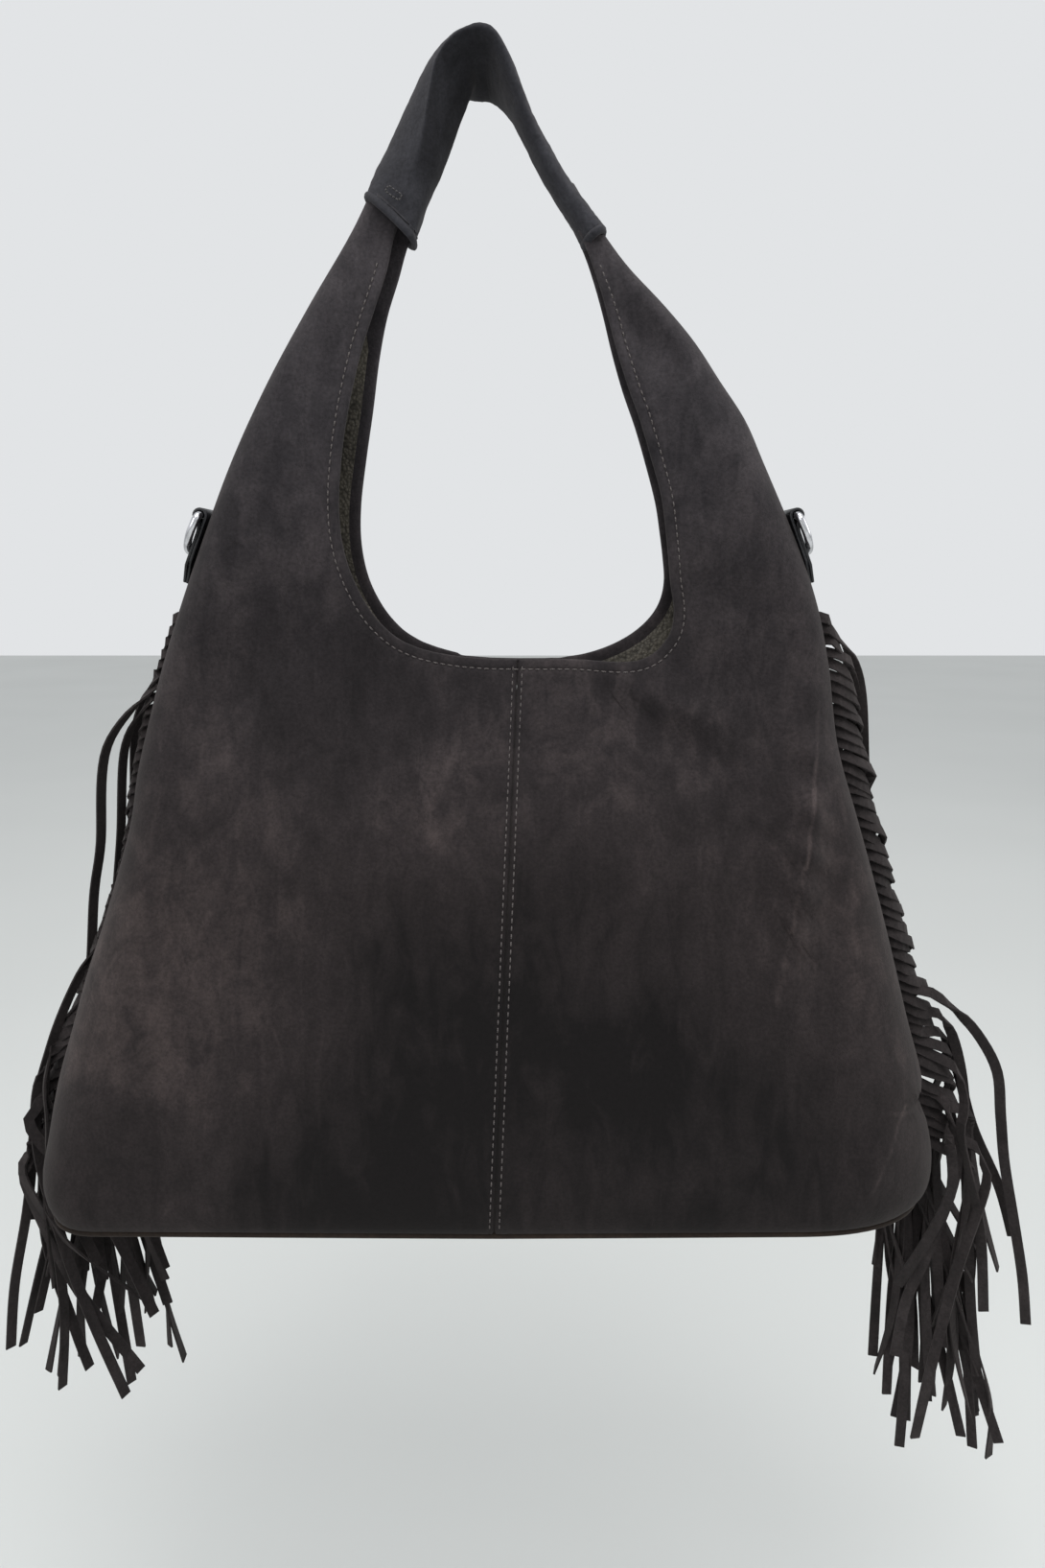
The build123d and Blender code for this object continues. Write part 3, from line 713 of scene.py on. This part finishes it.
# A flat plate with the bag's outline and a soft edge
def plate(name, node, finish, sizes):
    top, bottom, out, edge = sizes["top"], sizes["bottom"], sizes["out"], sizes["edge"]
    face = planOutline(out - 2 * edge)
    rings = [[(x * share, y * share, top) for x, y in face] for share in base["inner"]]
    for grow, z in ((-1.8, top), (-0.7, top - 0.1 * edge), (-0.1, top - 0.7 * edge), (0.0, (top + bottom) / 2),
                    (-0.1, bottom + 0.7 * edge), (-0.7, bottom + 0.1 * edge), (-1.8, bottom)):
        rings.append([(x, y, z) for x, y in planOutline(out + grow * edge)])
    rings += [[(x * share, y * share, bottom) for x, y in face] for share in base["inner"][::-1]]
    points = [p for ring in rings for p in ring]
    piece = newPiece(name, points, ringFaces(0, len(face), len(rings)), finish)
    tidyMesh(piece, 0.01, True)
    return standFor(piece, node)


basePanel = plate("basePanel", "base_panel", baseSuede, base["panel"])
baseBoard = plate("baseBoard", "base_board", baseFibre, base["board"])
print("base made")


# Shoulder sleeve: x, z, heading, half thickness, half width, squareness, place of the near fold

sleeve = {
    "stations": [
        (-39.8, -61.0, 65, 12.6, 11.5, 2.4, 0.52), (-37.6, -55.2, 65, 12.8, 11.6, 2.3, 0.50),
        (-33.6, -45.6, 64.5, 12.6, 12.0, 1.9, 0.44), (-26.8, -32.6, 63.5, 12.3, 13.5, 1.5, 0.24),
        (-20.4, -17.8, 63, 11.6, 16.0, 1.36, -0.08), (-14.4, -6.8, 60, 10.0, 19.0, 1.4, -0.42),
        (-8.9, -1.2, 48, 6.8, 21.4, 1.7, -0.40), (-4.6, 0.6, 28, 4.8, 22.5, 2.1, -0.10),
        (0.4, 1.2, -2, 4.1, 23.0, 2.4, 0.0), (4.6, -0.6, -34, 4.0, 22.3, 2.3, 0.0),
        (9.0, -6.0, -58, 4.0, 20.0, 2.2, 0.0), (13.2, -13.6, -64, 3.9, 16.0, 2.1, 0.0),
        (17.2, -21.5, -62, 4.0, 12.6, 2.0, 0.1), (22.2, -31.0, -60, 4.3, 10.6, 2.0, 0.1),
        (28.4, -41.6, -60, 4.5, 9.8, 2.0, 0.1), (34.2, -50.8, -58, 4.7, 9.6, 2.0, 0.0),
        (39.8, -58.2, -56, 5.0, 9.8, 2.1, 0.0), (44.0, -64.2, -55, 5.5, 10.2, 2.2, 0.0),
        (47.2, -68.8, -55, 5.9, 10.4, 2.2, 0.0)],
    "around": 56, "steps": 130, "hemSlant": 0.34, "hemRoll": 1.1,
}


# One ring of the strap at u along its stations, grown outwards and moved along
def sleeveRing(u, grow, shift=0.0, slant=0.0):
    x, z, heading, half, wide, power, fold = curveAt(sleeve["stations"], u)
    turn = math.radians(heading)
    ax, az = math.cos(turn), math.sin(turn)
    nx, nz = math.sin(turn), -math.cos(turn)  # towards the inside of the loop on the left
    tip = 0.17 * ease((u - 4.0) / 3.5) * ease((12.5 - u) / 3.5)  # the top tips down towards the back
    ring = []
    for k in range(sleeve["around"]):
        angle = 2 * math.pi * k / sleeve["around"]
        c, s = math.cos(angle), math.sin(angle)
        across = math.copysign(abs(c) ** (2 / power), c) * (half + grow)
        deep = math.copysign(abs(s) ** (2 / power), s) * (wide + grow)
        near = max(-s, 0.0) ** 1.5
        across += fold * (half + grow) * near * 0.8
        ridge = math.exp(-((k / sleeve["around"] - 0.75) / 0.035) ** 2) * max(1 - abs(u - 4.0) / 3.2, 0.0)
        deep -= 1.6 * ridge  # the near fold stands up in a soft crease
        wrinkle = 0.35 * noise.noise(Vector((u * 1.7, c * 1.6, s * 1.6))) + 0.2 * noise.noise(
            Vector((u * 4.0, c * 3.0, s * 3.0)))
        along = shift - slant * across
        px = x + nx * (across + wrinkle * c) + ax * along
        pz = z + nz * (across + wrinkle * c) + az * along - tip * deep
        ring.append((px, deep + wrinkle * s, pz))
    return ring


# The sleeve: a rolled hem on the left, the tube, and a tucked end on the right
def sleevePiece():
    last = len(sleeve["stations"]) - 1
    slant, roll, steps, around = sleeve["hemSlant"], sleeve["hemRoll"], sleeve["steps"], sleeve["around"]
    hemRings = ((-2.0, 6.0), (-1.6, 2.0), (-0.9, 0.2), (0.2, -0.5), (roll, 0.1), (roll + 0.3, 1.2), (roll, 2.3),
                (0.1, 3.2), (-0.15, 3.6), (0.15, 4.4))  # each grown outwards and moved along
    endRings = ((0.1, -3.4), (0.3, -2.2), (-0.2, -1.1), (-1.1, -0.3), (-2.2, -0.3), (-2.5, -1.5), (-2.2, -5.0))
    rings = [sleeveRing(0.0, grow, shift, slant) for grow, shift in hemRings]
    for k in range(4, steps - 3):
        u = last * k / steps
        rings.append(sleeveRing(u, 0.0, 0.0, slant * max(1 - u / 2.2, 0.0)))
    rings += [sleeveRing(float(last), grow, shift) for grow, shift in endRings]
    points = [p for ring in rings for p in ring]
    piece = newPiece("shoulderSleeve", points, ringFaces(0, around, len(rings), False), sleeveSuede)
    undersideShadeLayer = piece.data.attributes.new("undersideShade", "FLOAT", "POINT")
    # painted shade: negative values on the inner face of the loop darken the strap's underside
    values = []
    for c in range(len(rings)):
        share = (c - len(hemRings)) / (len(rings) - len(hemRings) - len(endRings))
        u = last * min(max(share, 0.0), 1.0)
        turned = ease((u - 1.0) / 1.5) * ease((11.0 - u) / 3.0)
        values += [-turned * ease(3.2 * math.cos(2 * math.pi * k / around) + 0.4) for k in range(around)]
    undersideShadeLayer.data.foreach_set("value", values)
    tidyMesh(piece, 0.01, True)
    return standFor(piece, "shoulder_sleeve")


# The padded strap inside the sleeve
def corePiece():
    rings = [sleeveRing(1.5, -9.0)] + [sleeveRing(1.5 + 14.5 * k / 60, -2.4) for k in range(61)]
    rings.append(sleeveRing(16.0, -5.0))
    points = [p for ring in rings for p in ring]
    piece = newPiece("strapCore", points, ringFaces(0, sleeve["around"], len(rings)), liningWeave)
    tidyMesh(piece, 0.01, True)
    return standFor(piece, "strap_core")


shoulderSleeve = sleevePiece()
strapCore = corePiece()
print("sleeve made")


# Ribbons: closed flat strips along a path

# Add one closed strip. Each path point has its own width direction
def addRibbon(points, faces, path, wideWays, width, thick):
    start = len(points)
    count = len(path)
    for i, p in enumerate(path):
        here = Vector(p)
        way = (Vector(path[min(i + 1, count - 1)]) - Vector(path[max(i - 1, 0)])).normalized()
        wide = Vector(wideWays[i])
        wide = (wide - way * wide.dot(way)).normalized()
        up = way.cross(wide).normalized()
        half = (width[i] if isinstance(width, list) else width) / 2
        for a, b in ((-1, -1), (1, -1), (1, 1), (-1, 1)):
            points.append(tuple(here + wide * (a * half) + up * (b * thick / 2)))
    faces += ringFaces(start, 4, count)


# The same path with points at even steps
def spaced(path, step):
    fine = [Vector(curveAt(path, u / 24)) for u in range(24 * (len(path) - 1) + 1)]
    lengths = [0.0]
    for a, b in zip(fine, fine[1:]):
        lengths.append(lengths[-1] + (b - a).length)
    count = max(4, round(lengths[-1] / step))
    result, j = [], 0
    for k in range(count + 1):
        goal = lengths[-1] * k / count
        while j < len(fine) - 2 and lengths[j + 1] < goal:
            j += 1
        t = (goal - lengths[j]) / max(lengths[j + 1] - lengths[j], 1e-9)
        result.append(fine[j].lerp(fine[j + 1], t))
    return result, lengths[-1]


fringe = {
    "width": 4.7, "thick": 0.9, "pitch": 5.05, "count": 49, "top": -225.0, "step": 4.5,
    "rightReach": [(-224, 7), (-240, 12), (-256, 14.5), (-273, 16), (-296, 14.5), (-316, 13), (-345, 13.5),
                   (-375, 15), (-395, 19), (-430, 22), (-450, 25), (-472, 26)],
    "leftReach": [(-224, 4), (-260, 5), (-300, 6.5), (-330, 5), (-390, 8), (-410, 12), (-430, 12), (-472, 14)],
}
# Long strips that hang clear of the side: root height, then points (x, y, z)
freeStrips = {
    "left": [
        (-256, [(-168, -3, -283), (-175, 2, -328), (-180, 4, -352), (-186, 6, -398), (-199, 6, -440),
                (-207, 4, -500), (-206, 6, -560), (-210, 8, -603)]),
        (-261, [(-163, 5, -284), (-170, 12, -330), (-178, 14, -380), (-192, 14, -430), (-200, 14, -480),
                (-215, 10, -530), (-228, 8, -580)]),
        (-251, [(-160, 12, -276), (-166, 20, -320), (-173, 22, -370), (-185, 24, -420), (-196, 26, -480),
                (-190, 26, -550), (-184, 28, -617)]),
        (-372, [(-192, -2, -400), (-201, -3, -423), (-209, -2, -450), (-217, 0, -500), (-228, 4, -545),
                (-233, 6, -580)]),
        (-398, [(-203, 6, -424), (-210, 8, -460), (-214, 8, -520), (-204, 10, -570), (-197, 10, -594)]),
        (-420, [(-206, -4, -436), (-208, -6, -470), (-197, -8, -520), (-186, -6, -560), (-174, -4, -597)]),
    ],
    "right": [
        (-392, [(202, -2, -396), (211, -4, -402), (223, -5, -414), (234, -4, -433), (238, -2, -456),
                (242, 0, -480), (249, 2, -510), (255, 2, -540), (257, 0, -563)]),
        (-230, [(163, 6, -244), (170, 12, -262), (175, 18, -300), (181, 22, -345), (192, 24, -395),
                (206, 26, -450), (214, 26, -520), (212, 28, -590), (214, 30, -640)]),
        (-236, [(165, 10, -254), (172, 18, -282), (179, 26, -330), (190, 30, -385), (203, 34, -440),
                (212, 36, -500), (222, 38, -570), (228, 38, -636)]),
        (-404, [(208, 2, -408), (217, 4, -422), (224, 6, -450), (228, 6, -500), (234, 8, -560), (239, 8, -597)]),
        (-412, [(212, 6, -420), (222, 10, -440), (232, 12, -470), (246, 12, -500), (255, 14, -527)]),
        (-440, [(212, -6, -452), (216, -8, -480), (205, -8, -520), (196, -8, -545), (192, -8, -573)]),
        (-452, [(211, -10, -462), (212, -14, -484), (204, -14, -506), (190, -12, -534)]),
    ],
}


# Knife-cut strips down one side seam: each leaves the seam flat, rolls back over the next, then hangs
def fringePiece(name, side, node):
    left = side == "left"
    sign = -1 if left else 1
    seed = random.Random(11 if left else 29)
    points, faces = [], []
    total = 0.0
    reaches = fringe["leftReach"] if left else fringe["rightReach"]
    free = freeStrips[side]
    for i in range(fringe["count"]):
        rootZ = fringe["top"] - i * fringe["pitch"] + seed.uniform(-0.3, 0.3)
        sideX = lineAt(bag[side], rootZ)
        reach = lineAt(reaches, rootZ) * seed.uniform(0.86, 1.12)
        back = seed.uniform(0.0, 1.0)
        hero = next((h for h in free if abs(h[0] - rootZ) < 0.51 * fringe["pitch"]), None)
        slope = seed.uniform(0.22, 0.42)
        path = [(sideX - sign * 4, 0.9, rootZ), (sideX + sign * 1.5, -0.5, rootZ - 0.5),
                (sideX + sign * reach * 0.5, -1.6 + seed.uniform(-0.7, 0.7), rootZ - reach * slope * 0.6)]
        if hero:
            path += hero[1]
        else:
            outX = sideX + sign * reach
            drop = rootZ - reach * slope
            low = rootZ < -412  # the lowest strips swing out before they hang
            depth = mix(-14, 20, back) if low else 16 + 18 * back
            path += [(outX, 0.15 * depth, drop - 2.6),
                     (outX + sign * (2.5 if low else 0.5), 0.5 * depth, drop - 8.5),
                     (outX + sign * (3.5 if low else -1.0), 0.8 * depth, drop - 19)]
            endZ = seed.uniform(-608, -500) if left else seed.uniform(-646, -530)
            endX = seed.uniform(-222, -152) if left else seed.uniform(190, 250)
            z = rootZ - 40
            while z > -468:
                wide = max(abs(lineAt(bag[side], z)) + seed.uniform(-2.5, 3.0), abs(path[-1][0]) - 2)
                path.append((sign * wide, depth + seed.uniform(-2, 2), z))
                z -= 42
            startX, startZ = path[-1][0], path[-1][2]
            steps = max(2, round((startZ - endZ) / 42))
            bend = seed.uniform(-9, 9)
            for k in range(1, steps + 1):
                t = k / steps
                swing = math.sin(math.pi * t) * bend
                path.append((mix(startX, endX, ease(t) * 0.6 + 0.4 * t) + swing,
                             mix(depth, depth * 0.6 + seed.uniform(-8, 10), t), mix(startZ, endZ, t)))
        line, length = spaced(path, fringe["step"])
        total += length
        turn = seed.uniform(-0.9, 0.9)
        tilt = seed.uniform(0.35, 0.75)  # each strip laps over the next like a shingle
        ways = []
        for k in range(len(line)):
            run = k / (len(line) - 1) * length
            share = ease((run - reach * 0.9) / 26.0)
            drift = 0.8 * math.sin(max(run - 60, 0) / 55.0 + 7 * turn)
            yaw = (0.95 if left else 0.2) + 0.2 * turn if hero else turn * 1.5 + drift
            flatWay = Vector((-sign * math.cos(yaw), math.sin(yaw), 0.25))
            ways.append(Vector((0, tilt, 1)).lerp(flatWay, share).normalized())
        addRibbon(points, faces, line, ways, fringe["width"], fringe["thick"])
    piece = newPiece(name, points, faces, fringeSuede)
    piece.data.polygons.foreach_set("use_smooth", [False] * len(piece.data.polygons))
    return standFor(piece, node), total


fringeLeft, leftRun = fringePiece("fringeLeft", "left", "fringe_left")
fringeRight, rightRun = fringePiece("fringeRight", "right", "fringe_right")
print("fringe made, strips total", round(leftRun), round(rightRun), "mm")


# Ring tabs: a black strip folded through each D-ring and sewn to the side

tab = {"wire": 1.7, "gap": 0.3, "cloth": 1.2, "width": 18.0, "tail": 30.0, "round": 6.0,
       "left": (-121.212, -181.845, 21.15), "right": (132.733, -181.861, 20.85)}  # bar x, bar z, lean in degrees


def tabPiece(name, side, node):
    sign = -1 if side == "left" else 1
    barX, barZ, degrees = tab[side]
    lean = math.radians(degrees)
    away = Vector((sign * math.cos(lean), 0, math.sin(lean)))
    up = Vector((-sign * math.sin(lean), 0, math.cos(lean)))
    loop = tab["wire"] + tab["gap"] + tab["cloth"] / 2
    local = [(-loop, -tab["tail"]), (-loop, -20), (-loop, -10), (-loop, -4)]
    local += [(loop * math.cos(math.radians(a)), loop * math.sin(math.radians(a))) for a in range(180, -91, -18)]
    local += [(-0.9, -3.7), (-1.35, -7), (-1.35, -14), (-1.35, -22), (-1.35, -tab["tail"])]
    widths = []
    for u, v in local:
        short = 1 - min((v + tab["tail"]) / tab["round"], 1)  # the tail's end is round
        widths.append(tab["width"] * math.sqrt(max(1 - short ** 2, 0.12)))
    path = [Vector((barX, 0, barZ)) + away * u + up * v for u, v in local]
    points, faces = [], []
    addRibbon(points, faces, path, [(0, 1, 0)] * len(path), widths, tab["cloth"])
    piece = newPiece(name, points, faces, tabGrain)
    tidyMesh(piece, 0.01, True)
    bpy.ops.object.select_all(action="DESELECT")
    bpy.context.view_layer.objects.active = piece
    piece.select_set(True)
    bevel = piece.modifiers.new("softEdge", "BEVEL")
    bevel.width, bevel.segments, bevel.limit_method = 0.35 * mm, 2, "ANGLE"
    bpy.ops.object.modifier_apply(modifier="softEdge")
    bpy.ops.object.shade_smooth_by_angle(angle=math.radians(40))
    piece.select_set(False)
    return standFor(piece, node)


tabLeft = tabPiece("ringTabLeft", "left", "ring_tab_left")
tabRight = tabPiece("ringTabRight", "right", "ring_tab_right")
print("tabs made")


# Stitches: short capsules of thread that dip into the cloth at both ends

stitch = {"pitch": 3.2, "length": 2.3, "radius": 0.34, "sides": 6, "mouthTop": -76.0}


def addStitch(points, faces, start, end, outward):
    way = (end - start)
    length = way.length
    way.normalize()
    outward = (outward - way * outward.dot(way)).normalized()
    across = way.cross(outward)
    first = len(points)
    r = stitch["radius"]
    sides = stitch["sides"]
    rings = ((0.0, 0.35, -0.35), (0.12, 0.85, 0.0), (0.5, 1.0, 0.16), (0.88, 0.85, 0.0), (1.0, 0.35, -0.35))
    for share, size, lift in rings:
        centre = start + way * (share * length) + outward * (lift + 0.05)
        for k in range(sides):
            a = 2 * math.pi * k / sides
            points.append(tuple(centre + across * (math.cos(a) * r * size) + outward * (math.sin(a) * r * size)))
    faces += ringFaces(first, sides, len(rings))


def surfacePoint(x, z, gap, side, lower):
    return Vector((x, side * (depthAt(x, z, side, gap) - lower), z))


# Stitches at the pitch along a dense line of points
def stitchLine(points, faces, line, side):
    lengths = [0.0]
    for a, b in zip(line, line[1:]):
        lengths.append(lengths[-1] + (b - a).length)

    def at(goal):
        j = next((n for n in range(len(line) - 2) if lengths[n + 1] >= goal), len(line) - 2)
        return line[j].lerp(line[j + 1], (goal - lengths[j]) / max(lengths[j + 1] - lengths[j], 1e-9))

    run = 1.0
    while run + stitch["length"] < lengths[-1]:
        addStitch(points, faces, at(run), at(run + stitch["length"]), Vector((0, side, 0)))
        run += stitch["pitch"]


def threadPiece(name, points, faces, finish):
    piece = newPiece(name, points, faces, finish)
    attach(piece, "bag")
    return piece


# The row round the mouth, up to the sleeve's ends
def mouthStitches(edge, side, name):
    line = []
    for half in ("left", "right"):
        columns = columnsFor(edge, half)
        for i in range(len(columns)):
            (ex, ez), (nx, nz), path = alongColumn(columns, i)
            if ez > stitch["mouthTop"]:
                continue
            gap = panel["mouthStitch"] * min(1.0, path[-1][2] * 0.55 / panel["edgeRows"][-1])
            x, z = ex + nx * gap, ez + nz * gap
            if line and math.hypot(x - line[-1].x, z - line[-1].z) < 0.9:
                continue
            line.append(surfacePoint(x, z, gap, side, 0.05))
    points, faces = [], []
    stitchLine(points, faces, line, side)
    return threadPiece(name, points, faces, seamThread)


# The two rows down the centre seam
def seamStitches(side, name):
    points, faces = [], []
    for offset in (-panel["seamStitch"], panel["seamStitch"]):
        heights = [bag["seamTop"][1] - 1.5 - 1.5 * k for k in range(157)]
        line = [surfacePoint(seamX(z) + offset, z, -z - 244, side, 0.2) for z in heights]
        stitchLine(points, faces, line, side)
    return threadPiece(name, points, faces, seamThread)


mouthThreadFront = mouthStitches(frontEdge, -1, "mouthThreadFront")
mouthThreadBack = mouthStitches(backEdge, 1, "mouthThreadBack")
seamThreadFront = seamStitches(-1, "seamThreadFront")
seamThreadBack = seamStitches(1, "seamThreadBack")


# A small boxed tack beside the sleeve's hem
def barTack():
    centre, along, up = Vector((-36.2, -13.3, -53.6)), Vector((0.83, 0.0, -0.56)), Vector((0.56, 0.0, 0.83))
    points, faces = [], []
    outline = [(-3.2, 1.3), (3.0, 1.3), (3.4, 0.0), (3.0, -1.3), (-3.2, -1.3), (-3.4, 0.0), (-3.2, 1.3)]
    for (u0, v0), (u1, v1) in zip(outline, outline[1:]):
        count = max(1, round(math.hypot(u1 - u0, v1 - v0) / 1.6))
        for k in range(count):
            a, b = [centre + along * mix(u0, u1, t / count) + up * mix(v0, v1, t / count) for t in (k, k + 0.9)]
            addStitch(points, faces, a, b, Vector((0, -1, 0)))
    return threadPiece("sleeveTack", points, faces, darkThread)


sleeveTack = barTack()
print("stitches made")


# Finishes for the frame's own nodes

for nodeName, finish in (("d_ring_left", ringChrome), ("d_ring_right", ringChrome), ("snap_socket", snapNickel),
                         ("snap_stud", snapNickel), ("snap_washer_front", washerSteel),
                         ("snap_washer_back", washerSteel)):
    for place in bpy.data.objects[nodeName].material_slots:
        place.material = finish


# Floor, light and camera

bpy.ops.mesh.primitive_plane_add(size=14.0, location=(0, 0, -0.78))
floor = bpy.context.active_object
floor.name = "paleFloor"
floorFinish, tree, spread = newFinish("paleFloorPaint")
paint = addRamp(tree, addNoise(tree, spread, 1.5, 2.0), (0.0, "#c3c5c3"), (1.0, "#cccecc"))
endFinish(tree, {"Roughness": 0.8}, {"Base Color": paint})
floor.data.materials.append(floorFinish)

world = bpy.data.worlds.new("paleRoom") if not scene.world else scene.world
scene.world = world
world.use_nodes = True
background = world.node_tree.nodes.get("Background") or world.node_tree.nodes.new("ShaderNodeBackground")
background.inputs["Color"].default_value = linearOf("#e2e4e6")
background.inputs["Strength"].default_value = 1.0


def addLight(name, place, aim, size, watts):
    lamp = bpy.data.lights.new(name, "AREA")
    lamp.shape, lamp.size, lamp.energy = "SQUARE", size, watts
    holder = bpy.data.objects.new(name, lamp)
    scene.collection.objects.link(holder)
    holder.location = place
    holder.rotation_euler = (Vector(aim) - Vector(place)).to_track_quat("-Z", "Y").to_euler()


addLight("ceilingSoft", (0.1, -0.7, 1.5), (0.0, 0.0, -0.25), 1.5, 32.0)
addLight("frontSoft", (-1.3, -1.9, 0.7), (0.0, 0.0, -0.28), 1.4, 12.0)
addLight("rightRim", (1.8, -0.3, 0.3), (0.1, 0.0, -0.3), 1.2, 7.0)

cameraData = bpy.data.cameras.new("shopCamera")
camera = bpy.data.objects.new("shopCamera", cameraData)
scene.collection.objects.link(camera)
camera.location = (0.016, -0.460, -0.207)
camera.rotation_euler = (math.radians(90 - 7.2), 0.0, 0.0)
cameraData.sensor_width, cameraData.lens = 36.0, 24.02
cameraData.shift_y = -0.0492
cameraData.clip_start, cameraData.clip_end = 0.01, 60.0
scene.view_settings.view_transform = "Standard"
scene.camera = camera

print("scene ready")
